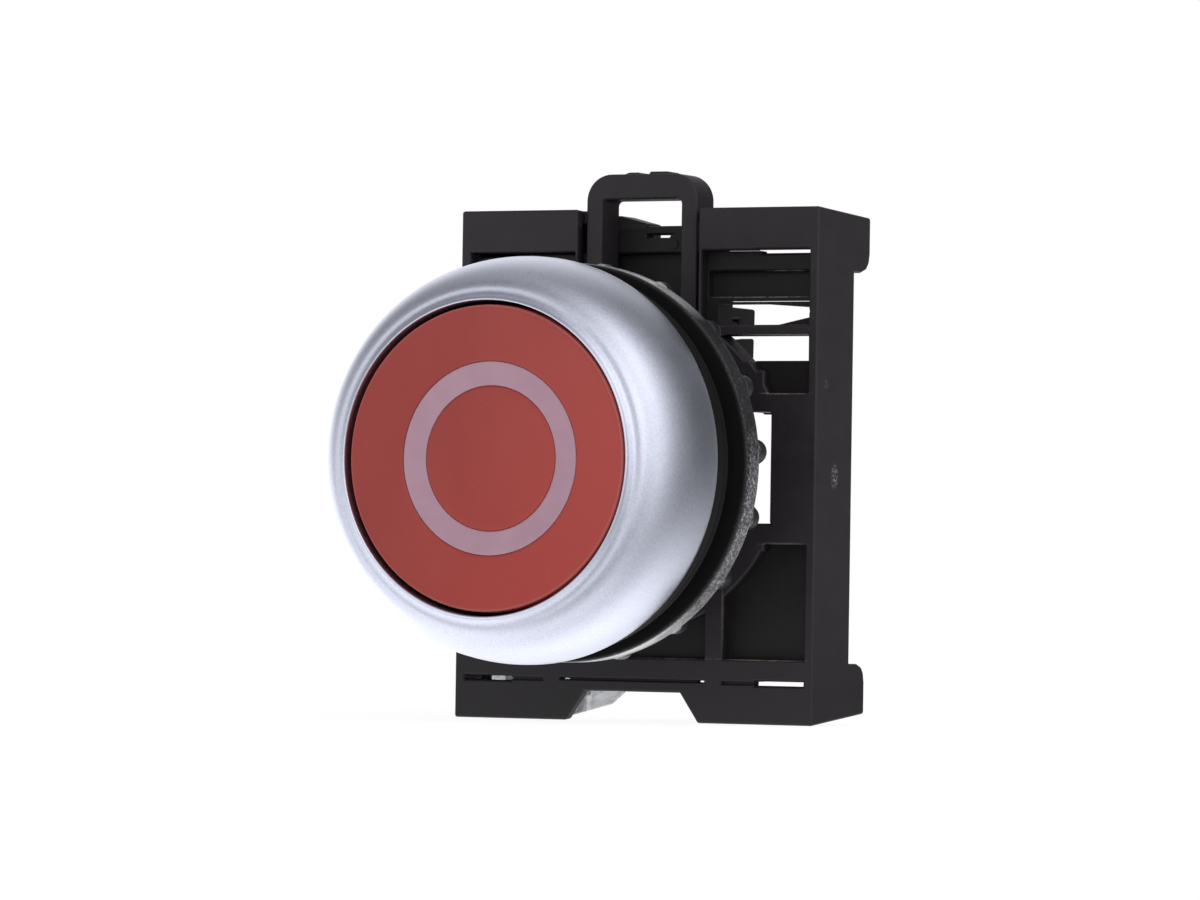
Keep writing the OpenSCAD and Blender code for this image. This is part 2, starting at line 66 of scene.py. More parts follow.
# ---------------------------------------------------------------- materials
class Mat:
    """A procedural material. Coordinates are the piece's own, in millimetres."""

    def __init__(self, name, **sockets):
        self.m = bpy.data.materials.new(name)
        self.m.use_nodes = True
        self.t = self.m.node_tree
        self.b = self.t.nodes["Principled BSDF"]
        for k, value in sockets.items():
            self.b.inputs[k.replace("_", " ")].default_value = value
        c = self.t.nodes.new("ShaderNodeTexCoord")
        v = self.node("ShaderNodeVectorMath", operation="SCALE")
        self.t.links.new(c.outputs["Object"], v.inputs[0])
        v.inputs["Scale"].default_value = 1000
        self.mm = v.outputs[0]

    def node(self, kind, **props):
        n = self.t.nodes.new(kind)
        for k, value in props.items():
            setattr(n, k, value)
        return n

    def put(self, socket, value):
        if isinstance(value, bpy.types.NodeSocket):
            self.t.links.new(value, socket)
        else:
            socket.default_value = value

    def noise(self, scale, detail=3.0, rough=0.55, stretch=None, offset=0.0):
        """Noise with about scale features per millimetre."""
        n = self.node("ShaderNodeTexNoise")
        vec = self.mm
        if stretch or offset:
            mp = self.node("ShaderNodeMapping")
            self.t.links.new(vec, mp.inputs["Vector"])
            mp.inputs["Scale"].default_value = stretch or (1, 1, 1)
            mp.inputs["Location"].default_value = (offset, offset, offset)
            vec = mp.outputs[0]
        self.t.links.new(vec, n.inputs["Vector"])
        n.inputs["Scale"].default_value = scale
        n.inputs["Detail"].default_value = detail
        n.inputs["Roughness"].default_value = rough
        return n.outputs[0]

    def cells(self, scale, feature="F1"):
        n = self.node("ShaderNodeTexVoronoi", feature=feature)
        self.t.links.new(self.mm, n.inputs["Vector"])
        n.inputs["Scale"].default_value = scale
        return n.outputs["Distance"]

    def span(self, value, a0, a1, b0=0.0, b1=1.0):
        n = self.node("ShaderNodeMapRange", clamp=True)
        self.put(n.inputs[0], value)
        for i, x in enumerate((a0, a1, b0, b1), 1):
            n.inputs[i].default_value = x
        return n.outputs[0]

    def math(self, operation, a, b=None):
        n = self.node("ShaderNodeMath", operation=operation)
        self.put(n.inputs[0], a)
        if b is not None:
            self.put(n.inputs[1], b)
        return n.outputs[0]

    def mix(self, fac, a, b):
        n = self.node("ShaderNodeMix", data_type="RGBA")
        self.put(n.inputs[0], fac)
        self.put(n.inputs[6], (*a, 1) if isinstance(a, tuple) else a)
        self.put(n.inputs[7], (*b, 1) if isinstance(b, tuple) else b)
        return n.outputs[2]

    def bump(self, height, depth, normal=None):
        """Raises height's 0 to 1 by depth millimetres."""
        n = self.node("ShaderNodeBump")
        n.inputs["Strength"].default_value = 1.0
        n.inputs["Distance"].default_value = depth * S
        self.put(n.inputs["Height"], height)
        if normal is not None:
            self.t.links.new(normal, n.inputs["Normal"])
        return n.outputs[0]

    def along(self, axis):
        """The coordinate along an axis, in millimetres."""
        n = self.node("ShaderNodeSeparateXYZ")
        self.t.links.new(self.mm, n.inputs[0])
        return n.outputs[axis]

    def near(self, centre, radii):
        """0 at centre, 1 on the ellipsoid with those radii, in millimetres."""
        mp = self.node("ShaderNodeVectorMath", operation="SUBTRACT")
        self.t.links.new(self.mm, mp.inputs[0])
        mp.inputs[1].default_value = centre
        dv = self.node("ShaderNodeVectorMath", operation="DIVIDE")
        self.t.links.new(mp.outputs[0], dv.inputs[0])
        dv.inputs[1].default_value = radii
        ln = self.node("ShaderNodeVectorMath", operation="LENGTH")
        self.t.links.new(dv.outputs[0], ln.inputs[0])
        return ln.outputs["Value"]

    def colour(self, value):
        self.put(self.b.inputs["Base Color"], value)

    def rough(self, value):
        self.put(self.b.inputs["Roughness"], value)

    def normal(self, value):
        self.put(self.b.inputs["Normal"], value)


def moulded(name, dark, light, rough=0.52, spec=0.35, grain=9.0, depth=0.006, blotch=0.45, scuffs=(), inside=None, edge_glints=()):
    """Moulded plastic: a fine eroded grain, faint flow blotches and a few scuffs, with painted shade in the recesses
    and painted highlights along their edges where these are asked for.
    """
    k = Mat(name, Specular_IOR_Level=spec)
    flow = k.noise(blotch, 4, 0.6, stretch=(1, 0.6, 1.3))
    fine = k.noise(grain, 3, 0.7)
    fac = k.math("MULTIPLY", k.span(flow, 0.32, 0.68), k.span(fine, 0.25, 0.75, 0.55, 1.0))
    col = k.mix(fac, dark, light)
    height = k.math("ADD", k.math("MULTIPLY", fine, 0.8), k.math("MULTIPLY", k.noise(grain * 0.3, 2), 0.4))
    for centre, radii, tone in scuffs:
        gate = k.math("MULTIPLY", k.span(k.near(centre, radii), 0.55, 1.0, 1, 0), k.span(k.noise(4.5, 5, 0.75, offset=3.0), 0.5, 0.6))
        col = k.mix(gate, col, tone)
    if inside:
        # painted shade: the recesses behind the front face are painted near black, and the part is also made darker
        # towards the bottom
        half, y, top = inside
        recess_shade = k.math("MULTIPLY", k.span(k.math("ABSOLUTE", k.along(0)), half - 0.25, half, 1, 0), k.span(k.along(1), y + 0.12, y + 0.5))
        recess_shade = k.math("MULTIPLY", recess_shade, k.span(k.math("ABSOLUTE", k.along(2)), top - 0.2, top, 1, 0))
        col = k.mix(k.span(k.along(2), -9, -17, 0, 0.42), col, (0.004, 0.004, 0.004))
        col = k.mix(k.math("MULTIPLY", recess_shade, 0.78), col, (0.0055, 0.0050, 0.0048))
    if edge_glints:
        # painted highlights: thin broken pale lines along the edges of the recesses, where those edges catch the light
        glint_breaks = k.span(k.noise(1.7, 4, 0.7, offset=5.0), 0.38, 0.52, 0.25, 1.0)
        for centre, radii, tone in edge_glints:
            col = k.mix(k.math("MULTIPLY", k.span(k.near(centre, radii), 0.6, 1.0, 1, 0), glint_breaks), col, tone)
    k.colour(col)
    k.rough(k.span(k.math("ADD", k.math("MULTIPLY", fine, 0.5), k.math("MULTIPLY", flow, 0.5)), 0.3, 0.7, rough - 0.07, rough + 0.08))
    k.normal(k.bump(height, depth))
    return k.m


def metal(name, dark, light, rough=0.3, brushed=(1, 1, 1), scale=6.0, depth=0.003):
    k = Mat(name, Metallic=1.0)
    line = k.noise(scale, 4, 0.6, stretch=brushed)
    blotch = k.noise(0.8, 3, 0.5)
    k.colour(k.mix(k.span(k.math("ADD", k.math("MULTIPLY", line, 0.6), k.math("MULTIPLY", blotch, 0.4)), 0.35, 0.65), dark, light))
    k.rough(k.span(line, 0.3, 0.7, rough - 0.06, rough + 0.1))
    k.normal(k.bump(line, depth))
    return k.m


def silver_material():
    """Silver lacquer on plastic: fine flakes that break up the sheen."""
    k = Mat("silver_lacquer", Metallic=1.0)
    flakes = k.cells(6.5)
    fine = k.noise(5.0, 3, 0.65)
    flow = k.noise(0.35, 2, 0.5)
    fac = k.math("ADD", k.math("MULTIPLY", k.span(fine, 0.28, 0.72), 0.7), k.math("MULTIPLY", k.span(flakes, 0.1, 0.7, 1, 0), 0.3))
    k.colour(k.mix(fac, (0.585, 0.61, 0.735), (0.74, 0.765, 0.88)))
    k.rough(k.span(k.math("ADD", k.math("MULTIPLY", fine, 0.7), k.math("MULTIPLY", flow, 0.3)), 0.3, 0.7, 0.27, 0.37))
    k.normal(k.bump(k.math("ADD", k.math("MULTIPLY", fine, 0.7), k.math("MULTIPLY", flakes, 0.5)), 0.005))
    return k.m


def cap_material():
    """Red satin plastic with a very fine erosion and a few lighter specks, painted lighter towards one side as painted
    light, with a painted highlight on its rounded rim.
    """
    k = Mat("red_satin", Specular_IOR_Level=0.42)
    flow = k.noise(0.22, 3, 0.5, stretch=(1, 1, 0.6))
    fine = k.noise(8.0, 3, 0.6)
    col = k.mix(k.span(flow, 0.3, 0.7), (0.306, 0.034, 0.028), (0.332, 0.042, 0.034))
    # painted light: the cap is painted lighter towards its right and lower side
    toward_lit_side = k.math("SUBTRACT", k.along(0), k.math("MULTIPLY", k.along(2), 0.45))
    col = k.mix(k.span(toward_lit_side, -6, 12), col, (0.425, 0.050, 0.040))
    speck = k.span(k.noise(3.1, 2, 0.5, offset=7.0), 0.72, 0.78)
    col = k.mix(k.math("MULTIPLY", speck, 0.25), col, (0.52, 0.12, 0.10))
    # painted highlight: the rounded rim is painted paler, where its rounding catches the light
    x, z = k.along(0), k.along(2)
    out = k.math("SQRT", k.math("ADD", k.math("MULTIPLY", x, x), k.math("MULTIPLY", z, z)))
    rim = k.math("MULTIPLY", k.span(out, 10.84, 10.95), k.span(k.along(1), -10.42, -10.5))
    col = k.mix(k.math("MULTIPLY", rim, k.span(fine, 0.3, 0.7, 0.45, 0.75)), col, (0.56, 0.17, 0.15))
    k.colour(col)
    k.rough(k.span(fine, 0.3, 0.7, 0.36, 0.46))
    k.normal(k.bump(fine, 0.003))
    return k.m


def symbol_material():
    k = Mat("pale_inlay", Specular_IOR_Level=0.4)
    fine = k.noise(7.0, 3, 0.6)
    flow = k.noise(0.5, 3, 0.5)
    k.colour(k.mix(k.span(flow, 0.3, 0.7), (0.415, 0.245, 0.315), (0.45, 0.275, 0.345)))
    k.rough(k.span(fine, 0.3, 0.7, 0.38, 0.5))
    k.normal(k.bump(fine, 0.003))
    return k.m


def nut_material():
    """Glass-filled plastic: dark, with fine pale fibres; painted light makes the lower part of the rim pale grey,
    painted highlights with a glossy coat run round the top and bottom, and painted shade darkens the front face.
    """
    k = Mat("filled_plastic", Sheen_Roughness=0.3, Coat_Roughness=0.16)
    coarse = k.noise(1.6, 4, 0.75)
    fine = k.noise(4.6, 3, 0.75)
    tone = k.math("ADD", k.math("MULTIPLY", coarse, 0.35), k.math("MULTIPLY", fine, 0.65))
    rim = k.span(k.along(1), 2.42, 2.7)
    low = k.math("MULTIPLY", k.span(k.along(2), 3.0, -2.0), rim)
    ends = k.math("MULTIPLY", k.math("MULTIPLY", k.span(k.along(0), 10.4, 8.0), k.span(k.math("ABSOLUTE", k.along(2)), 8.5, 10.8)), rim)
    col = k.mix(k.span(tone, 0.40, 0.60), (0.010, 0.009, 0.011), (0.024, 0.023, 0.027))
    # painted light: the lower part of the rim is painted pale grey
    col = k.mix(k.math("MULTIPLY", low, k.span(tone, 0.44, 0.56)), col, (0.21, 0.21, 0.235))
    # pale fibre specks, real, but painted mostly on the lit lower part of the rim
    speck = k.math("MULTIPLY", k.span(fine, 0.575, 0.625), k.span(low, 0, 1, 0.10, 1))
    col = k.mix(speck, col, (0.55, 0.55, 0.58))
    # painted highlights: pale crescents on the rim at the top and bottom, where it reflects the light at a grazing
    # angle; a glossy coat is laid on the same place
    col = k.mix(k.math("MULTIPLY", ends, k.span(tone, 0.36, 0.58, 0.45, 0.95)), col, (0.64, 0.64, 0.68))
    rib = k.span(k.along(1), 4.42, 4.46)
    col = k.mix(rib, col, (0.014, 0.013, 0.015))
    # painted shade: the front face, in the narrow gap behind the seal, is painted near black
    face = k.span(k.along(1), 2.42, 2.22)
    col = k.mix(face, col, (0.0085, 0.0080, 0.0085))
    k.colour(col)
    k.rough(k.math("ADD", k.span(coarse, 0.3, 0.7, 0.34, 0.46), k.math("MULTIPLY", face, 0.3)))
    k.put(k.b.inputs["Specular IOR Level"], k.span(face, 0.0, 1.0, 0.5, 0.06))
    k.put(k.b.inputs["Coat Weight"], k.math("MULTIPLY", ends, k.span(rib, 0, 1, 1, 0.1)))
    k.put(k.b.inputs["Sheen Weight"], k.math("MULTIPLY", low, k.span(rib, 0, 1, 0.5, 0)))
    k.normal(k.bump(tone, 0.02))
    return k.m


def rubber_material():
    k = Mat("seal_rubber", Specular_IOR_Level=0.12)
    fine = k.noise(7.0, 4, 0.7)
    flow = k.noise(0.8, 3, 0.6)
    k.colour(k.mix(k.span(flow, 0.3, 0.7), (0.0055, 0.0052, 0.0055), (0.0095, 0.0090, 0.0093)))
    k.rough(k.span(fine, 0.3, 0.7, 0.62, 0.8))
    k.normal(k.bump(fine, 0.006))
    return k.m


def clear_material():
    """Clear moulded plastic with flow lines and a pale haze."""
    k = Mat("clear_plastic", IOR=1.49)
    lines = k.noise(0.9, 3, 0.6, stretch=(1, 0.35, 1.6))
    fine = k.noise(5.0, 2, 0.6)
    k.colour(k.mix(k.span(lines, 0.35, 0.65), (0.88, 0.90, 0.94), (0.97, 0.98, 1.0)))
    k.put(k.b.inputs["Transmission Weight"], k.span(lines, 0.3, 0.7, 0.70, 0.82))
    k.rough(k.span(lines, 0.3, 0.7, 0.05, 0.12))
    k.normal(k.bump(k.math("ADD", k.math("MULTIPLY", lines, 0.8), k.math("MULTIPLY", fine, 0.2)), 0.03))
    return k.m


M = {
    "silver": silver_material(),
    "red": cap_material(),
    "pale": symbol_material(),
    "nut": nut_material(),
    "rubber": rubber_material(),
    "clear": clear_material(),
    "body": moulded("body_black", (0.0055, 0.0050, 0.0050), (0.0100, 0.0090, 0.0095), rough=0.6, spec=0.13, grain=8),
    # adapter_black carries painted shade in its recesses (inside) and painted highlights along their edges
    "adapter": moulded("adapter_black", (0.0205, 0.0160, 0.0205), (0.0280, 0.0228, 0.0280), rough=0.54, spec=0.34, grain=7, depth=0.007,
        scuffs=(((15.0, 16.9, -0.6), (0.5, 0.75, 1.1), (0.30, 0.29, 0.31)), ((15.0, 15.2, 6.2), (0.5, 0.4, 0.4), (0.16, 0.15, 0.16)),
                ((-3.4, 13.56, -13.2), (0.5, 0.5, 0.35), (0.12, 0.11, 0.12))), inside=(14.2, 13.56, 18.2),
        # painted highlights along the recess edges: centre, radii, tone
        edge_glints=(((10.85, 13.6, -14.36), (4.3, 0.25, 0.10), (0.225, 0.188, 0.180)), ((3.0, 13.6, -14.36), (4.0, 0.25, 0.09), (0.165, 0.143, 0.143)),
                ((12.4, 13.6, -5.74), (2.4, 0.25, 0.09), (0.120, 0.105, 0.105)), ((9.8, 14.76, 12.74), (5.2, 0.25, 0.09), (0.165, 0.143, 0.150)),
                ((12.1, 14.76, 14.66), (2.4, 0.25, 0.09), (0.150, 0.128, 0.135)), ((12.4, 13.6, 5.49), (2.4, 0.25, 0.10), (0.195, 0.165, 0.165)),
                ((7.49, 13.6, -10.2), (0.08, 0.25, 4.9), (0.075, 0.065, 0.065)))),
    "lever": moulded("lever_black", (0.0205, 0.0160, 0.0205), (0.0280, 0.0228, 0.0280), rough=0.54, spec=0.34, grain=7, depth=0.007),
    "block": moulded("block_dark", (0.020, 0.020, 0.022), (0.030, 0.030, 0.033), rough=0.5, spec=0.4, grain=8),
    "plunger": moulded("plunger_red", (0.34, 0.022, 0.018), (0.42, 0.034, 0.026), rough=0.4, spec=0.45, grain=8, depth=0.003),
    "spring": metal("spring_wire", (0.50, 0.51, 0.53), (0.68, 0.69, 0.71), rough=0.24, scale=5),
    "brass": metal("brass_strip", (0.66, 0.45, 0.19), (0.80, 0.58, 0.28), rough=0.3, brushed=(0.15, 1, 2.5)),
    "tips": metal("silver_tips", (0.72, 0.72, 0.70), (0.86, 0.86, 0.84), rough=0.35),
    "zinc": metal("zinc_plate", (0.55, 0.57, 0.60), (0.74, 0.75, 0.77), rough=0.3, brushed=(1, 0.2, 1)),
}


# ---------------------------------------------------------------- mesh tools
def piece(name, mesh, mat, body, slot, *replaced, sharp=38):
    """Makes the piece, smooth-shaded apart from its sharp edges, and puts it on its body."""
    o = bpy.data.objects.new(name, mesh)
    scene.collection.objects.link(o)
    mesh.materials.clear()
    mesh.materials.append(M[mat])
    mesh.polygons.foreach_set("use_smooth", [True] * len(mesh.polygons))
    mesh.polygons.foreach_set("material_index", [0] * len(mesh.polygons))
    if not mesh.has_custom_normals:
        mesh.set_sharp_from_angle(angle=math.radians(sharp))
    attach(o, body)
    if replaced:
        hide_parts(*replaced)
    return o


def to_mesh(bm, name):
    bmesh.ops.recalc_face_normals(bm, faces=bm.faces[:])
    me = bpy.data.meshes.new(name)
    bm.to_mesh(me)
    bm.free()
    return me


def lathe(name, profile, segs=256, shape=None, x=0.0, z=0.0):
    """Closed [radius, y] outline turned about Y. shape(r, y, angle) may move a point."""
    n = len(profile)
    bm = bmesh.new()
    rows = []
    for j in range(segs):
        a = TAU * j / segs
        row = []
        for r, y in profile:
            if shape:
                r, y = shape(r, y, a)
            row.append(bm.verts.new(((x + r * math.cos(a)) * S, y * S, (z + r * math.sin(a)) * S)))
        rows.append(row)
    for j in range(segs):
        p, q = rows[j], rows[(j + 1) % segs]
        for k in range(n):
            k2 = (k + 1) % n
            if profile[k][0] < 1e-6 and profile[k2][0] < 1e-6:
                continue
            bm.faces.new((p[k], p[k2], q[k2], q[k]))
    bmesh.ops.remove_doubles(bm, verts=bm.verts[:], dist=1e-7)
    return to_mesh(bm, name)


def soften(points, radius, steps=3, keep=()):
    """Rounds the corners of a closed outline of [r, y] points. A point may be listed in keep to stay sharp."""
    out, n = [], len(points)
    for i, b in enumerate(points):
        a, c = Vector(points[i - 1]), Vector(points[(i + 1) % n])
        b = Vector(b)
        u, w = a - b, c - b
        lu, lw = u.length, w.length
        if lu < 1e-6 or lw < 1e-6:
            continue
        turn = (u / lu).dot(w / lw)
        cut = min(radius, 0.45 * lu, 0.45 * lw)
        if turn < -0.94 or i in keep or b[0] < 1e-6 or cut < 0.004:
            out.append((b[0], b[1]))
            continue
        p, q = b + u / lu * cut, b + w / lw * cut
        for k in range(steps + 1):
            t = k / steps
            s = p * (1 - t) ** 2 + b * 2 * t * (1 - t) + q * t * t
            out.append((s[0], s[1]))
    return out


def thread_depth(y, a, pitch):
    """0 on a crest, 1 in a root, for a right-hand thread about Y."""
    t = (y / pitch + a / TAU) % 1.0
    t = abs(t - 0.5) * 2  # 0 in the middle, 1 at the ends
    return min(1.0, max(0.0, (t - 0.16) / 0.66))


def steps(a, b, n):
    return [a + (b - a) * i / n for i in range(n + 1)]


def applied(o):
    """The object's mesh with its modifiers applied; the object is removed."""
    bpy.context.view_layer.update()
    dg = bpy.context.evaluated_depsgraph_get()
    me = bpy.data.meshes.new_from_object(o.evaluated_get(dg))
    bpy.data.objects.remove(o)
    return me


def loose(mesh):
    o = bpy.data.objects.new("tmp_" + mesh.name, mesh)
    scene.collection.objects.link(o)
    return o


def brick(a, b):
    bm = bmesh.new()
    bmesh.ops.create_cube(bm, size=1.0)
    lo, hi = Vector(a) * S, Vector(b) * S
    for v in bm.verts:
        v.co = Vector(((lo[i] + hi[i]) / 2 + v.co[i] * (hi[i] - lo[i]) for i in range(3)))
    return to_mesh(bm, "brick")


def carve(mesh, cuts=(), adds=()):
    """Cuts and joins solid meshes with exact booleans."""
    o = loose(mesh)
    others = []
    for kind, group in (("UNION", adds), ("DIFFERENCE", cuts)):
        for c in group:
            t = loose(c)
            others.append(t)
            m = o.modifiers.new("b", "BOOLEAN")
            m.operation, m.object, m.solver = kind, t, "EXACT"
    me = applied(o)
    for t in others:
        bpy.data.objects.remove(t)
    return me


def room_at(edge, face, flat_edges):
    """How far the face reaches from the edge, square to it, before another sharp edge in its plane."""
    loop = next(l for l in edge.link_loops if l.face == face)
    a, b = loop.vert.co, loop.link_loop_next.vert.co
    d = b - a
    length = d.length
    if length < 1e-9:
        return 0.0
    d /= length
    inward = face.normal.cross(d)
    best = 1.0
    ea, eb = flat_edges
    if not len(ea):
        return best
    o = np.array(a)
    du, dv = np.array(d), np.array(inward)
    au, av = (ea - o) @ du, (ea - o) @ dv
    bu, bv = (eb - o) @ du, (eb - o) @ dv
    for t in (0.03, 0.25, 0.5, 0.75, 0.97):
        u = t * length
        lo, hi = np.minimum(au, bu), np.maximum(au, bu)
        hit = (lo <= u) & (hi >= u) & (hi - lo > 1e-9)
        if hit.any():
            k = (u - au[hit]) / (bu[hit] - au[hit])
            v = av[hit] + k * (bv[hit] - av[hit])
            v = v[v > 1e-6]
            if len(v):
                best = min(best, v.min())
    return best


def flat_to_edges(mesh, limit=38):
    """Corner normals taken from the widest flat areas that meet there, so faces stay flat up to their rounded edges."""
    count = len(mesh.polygons)
    normal, area = np.zeros(count * 3), np.zeros(count)
    mesh.polygons.foreach_get("normal", normal)
    mesh.polygons.foreach_get("area", area)
    normal = normal.reshape(-1, 3)
    group = list(range(count))

    def top(i):
        while group[i] != i:
            group[i] = group[group[i]]
            i = group[i]
        return i

    beside, at = {}, [[] for v in mesh.vertices]
    for p in mesh.polygons:
        for key in p.edge_keys:
            beside.setdefault(key, []).append(p.index)
        for v in p.vertices:
            at[v].append(p.index)
    for pair in beside.values():
        if len(pair) == 2 and normal[pair[0]] @ normal[pair[1]] > 0.99995:
            group[top(pair[0])] = top(pair[1])
    root = np.array([top(i) for i in range(count)])
    total = np.bincount(root, weights=area, minlength=count)
    near = math.cos(math.radians(limit))
    out = []
    for p in mesh.polygons:
        for v in p.vertices:
            met = {root[f]: f for f in at[v] if normal[f] @ normal[p.index] > near}
            n = sum(total[g] * normal[f] for g, f in met.items()) if met else normal[p.index]
            size = np.linalg.norm(n)
            out.append(tuple(n / size) if size > 0 else tuple(normal[p.index]))
    mesh.polygons.foreach_set("use_smooth", [True] * count)
    mesh.normals_split_custom_set(out)
    return mesh


def rounded(node, width=0.12, segs=2, least=28):
    """A copy of a CAD solid with its edges rounded, by less where a wall or slot is thin."""
    src = NODES[node].data
    bm = bmesh.new()
    co = np.zeros(len(src.vertices) * 3)
    src.vertices.foreach_get("co", co)
    vs = [bm.verts.new(c) for c in co.reshape(-1, 3)]
    for p in src.polygons:
        bm.faces.new([vs[i] for i in p.vertices])
    bmesh.ops.remove_doubles(bm, verts=bm.verts[:], dist=3e-7)
    bmesh.ops.dissolve_limit(bm, angle_limit=math.radians(0.4), verts=bm.verts[:], edges=bm.edges[:])
    bmesh.ops.connect_verts_concave(bm, faces=bm.faces[:])
    layer = bm.edges.layers.float.new("bevel_weight_edge")
    bm.faces.index_update()
    bm.normal_update()
    sharp = [e for e in bm.edges if len(e.link_faces) == 2 and e.calc_face_angle(0) > math.radians(least)]
    ea = np.array([e.verts[0].co for e in sharp]).reshape(-1, 3)
    eb = np.array([e.verts[1].co for e in sharp]).reshape(-1, 3)
    planes = {}
    for e in sharp:
        room = 1.0
        for f in e.link_faces:
            if f.index not in planes:
                n, c = np.array(f.normal), np.array(f.verts[0].co)
                on = (abs((ea - c) @ n) < 2e-6) & (abs((eb - c) @ n) < 2e-6)
                planes[f.index] = (ea[on], eb[on])
            room = min(room, room_at(e, f, planes[f.index]))
        weight = min(1.0, 0.42 * room / (width * S))
        e[layer] = weight if weight > 0.12 and e.is_convex else 0.0
    tree = BVHTree.FromBMesh(bm, epsilon=0.0)
    along = np.maximum(np.linalg.norm(eb - ea, axis=1), 1e-9)
    for turn in range(6):
        me = bpy.data.meshes.new(node)
        bm.to_mesh(me)
        o = loose(me)
        m = o.modifiers.new("edges", "BEVEL")
        m.limit_method, m.width, m.segments = "WEIGHT", width * S, segs
        m.use_clamp_overlap, m.miter_outer = False, "MITER_SHARP"
        m.loop_slide = False
        out = applied(o)
        # where the rounding folded over itself the edges nearby stay crisp
        bad = []
        for p in out.polygons:
            if p.area > 1e-11 and tree.find_nearest(p.center)[1].dot(p.normal) < -0.3:
                bad += [out.vertices[i].co.copy() for i in p.vertices]
        bad += [v.co.copy() for v in out.vertices if tree.find_nearest(v.co)[3] > 0.7 * width * S]
        if not bad or turn == 5:
            break
        pts = np.array(bad)
        for i, e in enumerate(sharp):
            if e[layer] > 0:
                t = np.clip(((pts - ea[i]) @ (eb[i] - ea[i])) / along[i] ** 2, 0, 1)
                if np.linalg.norm(pts - (ea[i] + t[:, None] * (eb[i] - ea[i])), axis=1).min() < 0.25 * S:
                    e[layer] = 0.0
    bm.free()
    return flat_to_edges(out)


def wound(name, x, z, r, wire, y0, y1, turns, seg=40, sides=12):
    """A compression spring about Y with closed end turns and flat-capped wire ends."""
    n = turns * seg
    bm = bmesh.new()
    rings = []
    for i in range(n + 1):
        a = TAU * i / seg
        flat = max(0.0, min(1.0, (i - seg) / (n - 2 * seg)))
        y = y0 + (y1 - y0) * flat
        if i < seg:
            y += wire * 2.06 * (i / seg - 1)
        elif i > n - seg:
            y += wire * 2.06 * (i - n + seg) / seg
        ring = []
        for k in range(sides):
            b = TAU * k / sides
            rr = r + wire * math.cos(b)
            ring.append(bm.verts.new(((x + rr * math.cos(a)) * S, (y + wire * math.sin(b)) * S, (z + rr * math.sin(a)) * S)))
        rings.append(ring)
    for p, q in zip(rings, rings[1:]):
        for k in range(sides):
            bm.faces.new((p[k], q[k], q[(k + 1) % sides], p[(k + 1) % sides]))
    bm.faces.new(rings[0])
    bm.faces.new(rings[-1][::-1])
    return to_mesh(bm, name)


# ---------------------------------------------------------------- operator
RING_R, FRONT, LIP = 14.85, -11.0, 0.4


def bezel_profile():
    # narrow lip, cove at its foot, broad shoulder, short tail
    pts = [(11.35, -9.6), (11.35, -10.88), (11.362, -10.94), (11.395, -10.985), (11.44, -11.0), (11.485, -10.988), (11.52, -10.945), (11.54, -10.88),
           (11.58, -10.80), (11.64, -10.712), (11.71, -10.635), (11.79, -10.57), (11.88, -10.52), (11.97, -10.487), (12.06, -10.468), (12.16, -10.462)]
    for t in np.radians([4.5, 6.5, 9, 12, 15, 18.5, 22, 26, 30, 34.5, 39, 44, 49, 54, 59, 64, 69, 74, 79, 84, 88, 90]):
        pts.append((12.05 + 2.8 * math.sin(t), -3.9 - 6.585 * math.cos(t)))
    pts += [(14.85, -3.55), (14.84, -3.25), (14.81, -2.98), (14.76, -2.84), (14.68, -2.77), (14.55, -2.75),
            (13.4, -2.75), (12.36, -2.75), (12.31, -2.78), (12.3, -2.85), (12.3, -6.2), (12.3, -9.4), (12.26, -9.5), (12.1, -9.52), (11.5, -9.52)]
    return pts

piece("front_ring", lathe("front_ring", bezel_profile(), 384), "silver", "base", "silver_ring", "bezel_ring", sharp=50)


def face_y(r):
    return -9.61 - r * r / 114.0


def cap_profile():
    pts = [(r, face_y(r)) for r in steps(0, 5.14, 12)]
    pts += [(5.19, face_y(5.2) + 0.02), (5.225, face_y(5.2) + 0.07), (5.23, face_y(5.2) + 0.4), (7.0, face_y(7.0) + 0.4), (7.005, face_y(7.0) + 0.07),
            (7.03, face_y(7.03) + 0.02)]
    pts += [(r, face_y(r)) for r in steps(7.09, 10.7, 14)]
    pts += [(10.84, -10.626), (10.93, -10.615), (10.985, -10.575), (11.022, -10.52), (11.04, -10.45), (11.06, -10.3),
            (11.1, -9.0), (11.1, -8.3), (11.06, -8.2), (10.2, -8.2), (10.1, -8.28), (10.08, -8.7), (9.9, -8.75), (0, -8.75)]
    return pts


piece("cap", lathe("cap", cap_profile(), 256), "red", "button", "red_cap", "button_cap", sharp=50)


def inlay_profile():
    pts = [(5.25, face_y(5.25) + 0.35), (5.25, face_y(5.25) + 0.05), (5.275, face_y(5.28) + 0.01), (5.32, face_y(5.32) - 0.006)]
    pts += [(r, face_y(r) - 0.006) for r in steps(5.5, 6.75, 6)]
    pts += [(6.91, face_y(6.91) - 0.006), (6.955, face_y(6.95) + 0.01), (6.98, face_y(6.98) + 0.05), (6.98, face_y(6.98) + 0.35)]
    return pts


piece("ring_inlay", lathe("ring_inlay", inlay_profile(), 256), "pale", "button", "pale_symbol", "symbol_ring", sharp=50)


